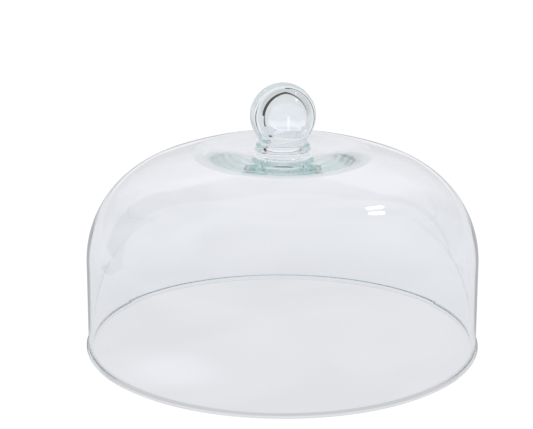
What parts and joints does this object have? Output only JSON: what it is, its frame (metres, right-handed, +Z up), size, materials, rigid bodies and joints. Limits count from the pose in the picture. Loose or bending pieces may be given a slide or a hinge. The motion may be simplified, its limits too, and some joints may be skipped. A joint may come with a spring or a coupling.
{
  "type": "food cover dome",
  "caption": "Clear blown-glass food cover: an upright-walled bell with a round shoulder and beaded rim, lifted by a hollow ball knob on a short neck.",
  "frame": {"origin": "centre of the ground seat under the rim, on the surface that the cover stands on", "axes": "+Z up along the cover's axis of revolution, through the knob; X and Y are any two level axes at right angles"},
  "size_m": [0.285, 0.285, 0.1943],
  "materials": {
    "thin_glass": "clear, fire-polished",
    "thick_glass": "clear with a faint green tint in its depth, fire-polished"
  },
  "bodies": {
    "root": {"bell": "thin_glass", "collar": "thick_glass", "knob": "thick_glass"}
  },
  "joints": []
}
